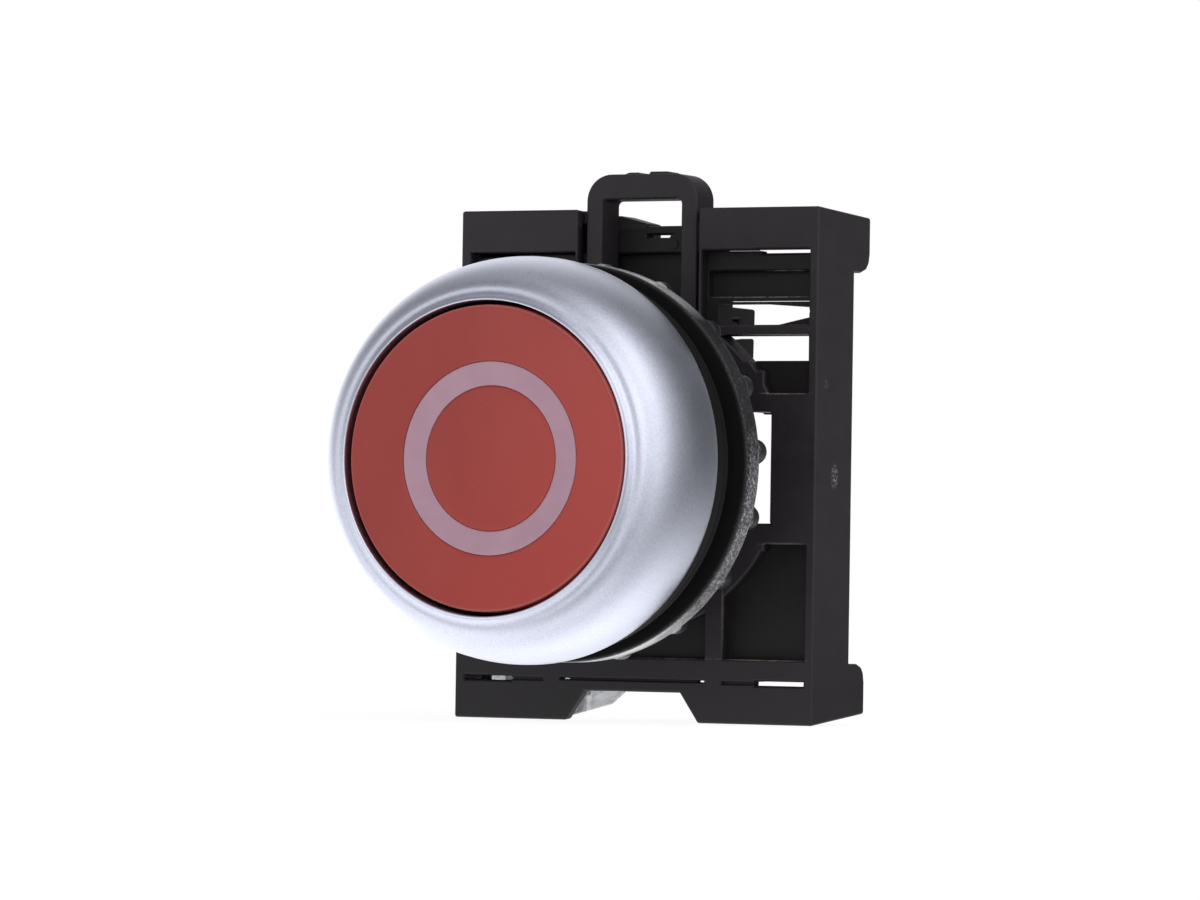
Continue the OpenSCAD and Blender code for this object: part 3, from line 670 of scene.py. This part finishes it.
def body_profile():
    front = soften([(9.4, -2.7), (11.5, -2.7), (11.5, -9.4), (12.25, -9.4), (12.25, -2.7), (14.4, -2.7), (14.4, -1.0), (13.72, -1.0), (13.7, -1.6), (12.0, -1.6),
        (12.0, -1.0), (10.95, -1.0)], 0.14)
    barrel = [(10.95, y) for y in steps(-0.6, 10.35, 146)]
    rear = soften([(10.95, 10.36), (10.5, 10.8), (9.9, 10.8), (9.9, 14.3), (9.2, 14.3), (9.2, 16.3), (9.9, 16.3), (9.9, 17.0), (8.4, 17.0), (8.4, 9.0), (9.4, 8.0),
        (6.05, 8.0), (6.05, 5.6), (9.4, 5.6)], 0.12, keep=(0,))
    return front + barrel + rear


def barrel_shape(r, y, a):
    if abs(r - 10.95) < 1e-6 and 0.9 < y < 10.3:
        fade = min(1.0, (y - 0.9) / 0.9, (10.3 - y) / 0.35)
        r -= 0.72 * fade * thread_depth(y, a, 1.5)
    return r, y


piece("body", carve(lathe("body", body_profile(), 216, barrel_shape), cuts=[brick((-13, 9.3, -4.3), (13, 18, 4.3))], adds=[brick((-1.3, -1.05, 10.2), (1.3, 1.5, 12.0))]),
    "body", "base", "black_body", "actuator_body", sharp=42)


def seal_profile():
    return soften([(11.3, -0.98), (12.04, -0.98), (12.04, -1.56), (13.66, -1.56), (13.66, -0.98), (14.2, -0.98), (14.3, -0.8), (14.3, -0.12), (14.16, 0), (13.7, 0), (13.5, -0.12),
        (13.3, 0), (12.6, 0), (12.4, -0.12), (12.2, 0), (11.3, 0)], 0.07, 2)


piece("panel_seal", carve(lathe("panel_seal", seal_profile(), 192), cuts=[brick((-1.5, -2, 10), (1.5, 1, 12.4))]), "rubber", "base", "seal_rubber", "panel_gasket")


def carrier_profile():
    return soften([(0, -8.7), (9.2, -8.7), (9.2, -7.6), (6.35, -7.6), (6.0, -7.25), (6.0, 9.5), (4.9, 9.5), (4.9, -6.7), (4.6, -7.0), (0, -7.0)], 0.12)


piece("carrier", lathe("carrier", carrier_profile(), 160), "body", "button", "black_body", "button_carrier")
piece("pusher", rounded("pusher_bar", 0.25, 3), "body", "button", "black_body", "pusher_bar")

spring = piece("button_spring", wound("button_spring", 0, 0, 7.4, 0.4, -6.3, 4.3, 6, 48, 14), "spring", "base", "spring_steel", "return_spring", sharp=60)
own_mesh(spring)


def diaphragm_profile():
    outer = [(9.9, -8.45), (9.93, -7.7), (10.12, -7.2), (10.3, -6.55), (10.36, -5.9), (10.5, -5.2), (10.62, -4.5), (10.75, -3.7), (11.0, -3.45), (11.3, -3.4), (11.3, -2.75)]
    inner = [(10.2, -2.75), (10.2, -3.35), (10.12, -4.1), (10.0, -4.9), (9.86, -5.7), (9.78, -6.4), (9.62, -7.1), (9.42, -7.45), (9.25, -7.5), (9.25, -8.45)]
    return soften(outer + inner, 0.12, 2)


seal = piece("diaphragm", lathe("diaphragm", diaphragm_profile(), 160), "rubber", "base", "seal_rubber", "diaphragm_seal", sharp=60)
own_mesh(seal)


# ---------------------------------------------------------------- panel nut
def nut_mesh():
    lobes, seg = 18, 720
    y0, y1, y2 = 2.2, 4.42, 5.57

    def lobed(a, grow=0.0):
        """Outline radius of the rear part at an angle: round lobes on a disc."""
        k = round((math.degrees(a) - 3.8) / 20.0)
        da = math.radians(math.degrees(a) - 3.8 - 20.0 * k)
        inside = 0.95 ** 2 - (13.89 * math.sin(da)) ** 2
        r = 13.89 * math.cos(da) + math.sqrt(inside) if inside > 0 else 0.0
        return max(13.84, r)

    table = np.array([lobed(TAU * j / seg) for j in range(seg)])
    for _ in range(2):  # eases the foot of each lobe
        table = 0.25 * np.roll(table, 1) + 0.5 * table + 0.25 * np.roll(table, -1)
    rim = [(11.02, y0), (14.3, y0), (14.45, y0 + 0.02), (14.58, y0 + 0.09), (14.66, y0 + 0.2), (14.7, y0 + 0.34), (14.7, y0 + 0.8), (14.7, y0 + 1.5), (14.7, y1 - 0.22), (14.67, y1 - 0.1), (14.6, y1 - 0.02)]
    rows = [(r, y, False) for r, y in rim]
    rows += [(-0.0, y1 + 0.03, True), (-0.0, y1 + 0.35, True), (-0.0, y2 - 0.3, True), (-0.035, y2 - 0.15, True), (-0.12, y2 - 0.05, True), (-0.26, y2, True)]
    rows += [(12.4, y2, False), (11.4, y2, False)]
    bore = [(11.02, y2 - 0.3, False)] + [(11.0, y, False) for y in steps(y2 - 0.4, y0 + 0.4, 36)] + [(11.0, y0 + 0.25, False)]
    rows += bore
    bm = bmesh.new()
    rings = []
    for j in range(seg):
        a = TAU * j / seg
        ring = []
        for r, y, is_lobe in rows:
            if is_lobe:
                r = table[j] + r
            elif r == 11.0 and y0 + 0.4 < y < y2 - 0.4:
                r += 0.6 * (1 - thread_depth(y, a, 1.5)) * min(1, (y - y0 - 0.4) / 0.3, (y2 - 0.4 - y) / 0.3)
            ring.append(bm.verts.new((r * math.cos(a) * S, y * S, r * math.sin(a) * S)))
        rings.append(ring)
    n = len(rows)
    for j in range(seg):
        p, q = rings[j], rings[(j + 1) % seg]
        for k in range(n):
            bm.faces.new((p[k], p[(k + 1) % n], q[(k + 1) % n], q[k]))
    return to_mesh(bm, "nut")


piece("nut", nut_mesh(), "nut", "nut", "nut_grey", "ring_nut", sharp=45)

# ---------------------------------------------------------------- adapter
piece("adapter", rounded("adapter_frame", 0.2, 3), "adapter", "base", "adapter_black", "adapter_frame")
piece("lever", rounded("locking_lever", 0.2, 3), "lever", "lever", "adapter_black", "locking_lever")

# ---------------------------------------------------------------- contact block
piece("block_housing", rounded("contact_housing", 0.2, 3), "block", "base", "block_dark", "contact_housing")
piece("block_lid", rounded("contact_side_cover", 0.18, 3), "block", "base", "block_dark", "contact_side_cover")
piece("block_clear", rounded("clear_terminal_cover", 0.2, 3), "clear", "base", "clear_plastic", "clear_terminal_cover")
piece("block_plunger", rounded("contact_plunger", 0.15, 2), "plunger", "contact_slider", "red_plunger", "contact_plunger")
piece("bridge", rounded("contact_bridge", 0.12, 2), "brass", "contact_slider", "brass", "contact_bridge")
piece("upper_strip", rounded("upper_fixed_contact", 0.12, 2), "brass", "base", "brass", "upper_fixed_contact")
piece("lower_strip", rounded("lower_fixed_contact", 0.12, 2), "brass", "base", "brass", "lower_fixed_contact")
piece("upper_plate_piece", rounded("upper_clamp_plate", 0.15, 2), "zinc", "upper_plate", "zinc_steel", "upper_clamp_plate")
piece("lower_plate_piece", rounded("lower_clamp_plate", 0.15, 2), "zinc", "lower_plate", "zinc_steel", "lower_clamp_plate")

CB_MID, TERM_Z = -10.15, 11.0


def tips(name, y_flat, y_dome):
    """Two domed silver rivets on a contact."""
    bm = bmesh.new()
    for z in (-4.4, 4.4):
        h = y_dome - y_flat
        prof = [(0, y_flat), (1.06, y_flat), (1.1, y_flat + 0.12 * h), (1.1, y_flat + 0.5 * h), (1.02, y_flat + 0.72 * h), (0.8, y_flat + 0.88 * h), (0.45, y_flat + 0.97 * h), (0, y_dome)]
        me = lathe("tip", prof, 48, x=CB_MID, z=z)
        bm.from_mesh(me)
        bpy.data.meshes.remove(me)
    return to_mesh(bm, name)


piece("bridge_tips", tips("bridge_tips", 32.05, 31.45), "tips", "contact_slider", "silver_tips", "bridge_contact_tips")
piece("fixed_tips", tips("fixed_tips", 30.8, 31.4), "tips", "base", "silver_tips", "fixed_contact_tips")

coil = piece("block_spring", wound("block_spring", CB_MID, 0, 1.9, 0.2, 33.45, 41.5, 9, 36, 10), "spring", "base", "spring_steel", "contact_spring", sharp=60)
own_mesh(coil)


def screw_mesh(name, z):
    prof = [(0, 28.7), (1.1, 28.7), (1.3, 28.95)] + [(1.5, y) for y in steps(29.1, 33.3, 84)] + [(1.5, 33.45)]
    prof += [(2.36, 33.45), (2.46, 33.49), (2.5, 33.6), (2.5, 34.9), (2.47, 35.08), (2.38, 35.25), (2.22, 35.36), (1.9, 35.4), (0, 35.4)]

    def shape(r, y, a):
        if r == 1.5 and 29.1 <= y <= 33.2:
            r -= 0.27 * thread_depth(y, a, 0.5) * min(1, (33.2 - y) / 0.2)
        return r, y

    # cross recess and slot, cut as two plain boxes
    cuts = [brick((CB_MID - 3, 34.7, z - 0.36), (CB_MID + 3, 36, z + 0.36)), brick((CB_MID - 0.36, 34.45, z - 1.45), (CB_MID + 0.36, 36, z + 1.45))]
    return carve(lathe(name, prof, 72, shape, x=CB_MID, z=z), cuts=cuts)


piece("upper_screw_piece", screw_mesh("upper_screw_piece", TERM_Z), "zinc", "upper_screw", "zinc_steel", "upper_terminal_screw")
piece("lower_screw_piece", screw_mesh("lower_screw_piece", -TERM_Z), "zinc", "lower_screw", "zinc_steel", "lower_terminal_screw")


# ---------------------------------------------------------------- stage, light, camera
def floor():
    z = CAD_BOX[0].z - 0.00002
    bm = bmesh.new()
    n, half = 24, 6.0
    grid = [[bm.verts.new(((i / n - 0.5) * 2 * half, (j / n - 0.5) * 2 * half, z)) for i in range(n + 1)] for j in range(n + 1)]
    for j in range(n):
        for i in range(n):
            bm.faces.new((grid[j][i], grid[j][i + 1], grid[j + 1][i + 1], grid[j + 1][i]))
    me = to_mesh(bm, "floor")
    o = bpy.data.objects.new("floor", me)
    scene.collection.objects.link(o)
    k = Mat("pale_floor", Specular_IOR_Level=0.0)
    tone = k.noise(0.004, 3, 0.5)
    k.colour(k.mix(tone, (0.18, 0.18, 0.18), (0.20, 0.20, 0.20)))
    k.rough(0.9)
    k.b.inputs["Emission Color"].default_value = (1, 1, 1, 1)
    k.b.inputs["Emission Strength"].default_value = 0.91
    me.materials.append(k.m)
    # the studio light comes from all round, from below too, as on a light table
    o.visible_diffuse = o.visible_glossy = o.visible_shadow = False
    return o


floor()

# soft panels round the part: azimuth from the front towards +X and elevation in degrees, how narrow, how bright
LOBES = [(-105, -19, 8, 1.10), (23, 15, 8, 1.05), (-142, 0, 8, 1.03), (42, -62, 8, 0.78), (-45, -7, 8, 0.71), (-152, 35, 8, 0.62), (91, 39, 8, 0.61),
    (-35, -43, 8, 0.61), (-96, -63, 8, 0.59), (155, -41, 8, 0.58), (66, 58, 8, 0.46), (79, 48, 8, 0.45), (-160, -54, 8, 0.44), (-153, -39, 8, 0.44),
    (80, 0, 8, 0.44), (167, -50, 8, 0.39), (60, -4, 8, 0.35), (11, 21, 8, 0.29), (-84, 71, 8, 0.28), (3, 11, 8, 0.26), (88, 10, 8, 0.26),
    (-55, -49, 8, 0.25), (135, -46, 8, 0.21), (-68, -40, 8, 0.19), (-37, 3, 8, 0.19), (38, 37, 8, 0.18), (54, -81, 8, 0.18), (90, -35, 8, 0.17),
    (-97, -8, 8, 0.17), (-79, 41, 8, 0.15)]
AMBIENT = 0.00


def studio():
    """Soft light from broad panels all round, and a white backdrop."""
    w = bpy.data.worlds.new("studio")
    scene.world = w
    w.use_nodes = True
    t = w.node_tree
    t.nodes.clear()

    def node(kind, **props):
        n = t.nodes.new(kind)
        for k, v in props.items():
            setattr(n, k, v)
        return n

    way = node("ShaderNodeTexCoord").outputs["Generated"]
    total = None
    for az, el, narrow, amount in LOBES:
        a, e = math.radians(az), math.radians(el)
        dot = node("ShaderNodeVectorMath", operation="DOT_PRODUCT")
        t.links.new(way, dot.inputs[0])
        dot.inputs[1].default_value = (math.sin(a) * math.cos(e), -math.cos(a) * math.cos(e), math.sin(e))
        k = node("ShaderNodeMath", operation="MULTIPLY_ADD")
        t.links.new(dot.outputs["Value"], k.inputs[0])
        k.inputs[1].default_value, k.inputs[2].default_value = narrow, -narrow
        ex = node("ShaderNodeMath", operation="EXPONENT")
        t.links.new(k.outputs[0], ex.inputs[0])
        add = node("ShaderNodeMath", operation="MULTIPLY_ADD")
        t.links.new(ex.outputs[0], add.inputs[0])
        add.inputs[1].default_value = amount
        if total is None:
            add.inputs[2].default_value = AMBIENT
        else:
            t.links.new(total, add.inputs[2])
        total = add.outputs[0]
    soft = node("ShaderNodeBackground")
    soft.inputs["Color"].default_value = (1, 1, 1, 1)
    t.links.new(total, soft.inputs["Strength"])
    white = node("ShaderNodeBackground")
    white.inputs["Color"].default_value = (1, 1, 1, 1)
    white.inputs["Strength"].default_value = 1.0
    ray = node("ShaderNodeLightPath")
    seen = node("ShaderNodeMath", operation="MAXIMUM")
    t.links.new(ray.outputs["Is Camera Ray"], seen.inputs[0])
    t.links.new(ray.outputs["Is Transmission Ray"], seen.inputs[1])
    mix = node("ShaderNodeMixShader")
    t.links.new(seen.outputs[0], mix.inputs[0])
    t.links.new(soft.outputs[0], mix.inputs[1])
    t.links.new(white.outputs[0], mix.inputs[2])
    out = node("ShaderNodeOutputWorld")
    t.links.new(mix.outputs[0], out.inputs["Surface"])


studio()
scene.view_settings.view_transform = "Standard"
scene.view_settings.look = "None"

cam = bpy.data.objects.new("camera", bpy.data.cameras.new("camera"))
scene.collection.objects.link(cam)
scene.camera = cam
cam.data.lens, cam.data.sensor_width = 186.309, 36.0
cam.data.clip_start, cam.data.clip_end = 0.01, 20.0
cam.data.shift_y = 0.0022
eye, aim = Vector((206.683, -405.046, -8.918)) * S, Vector((4.85, -1.94, 0.64)) * S
ahead = (aim - eye).normalized()
right = ahead.cross(Vector((0, 0, 1))).normalized()
up = right.cross(ahead)
roll = math.radians(0.88)
r2 = right * math.cos(roll) + up * math.sin(roll)
u2 = -right * math.sin(roll) + up * math.cos(roll)
m = Matrix((r2, u2, -ahead)).transposed().to_4x4()
m.translation = eye
cam.matrix_world = m
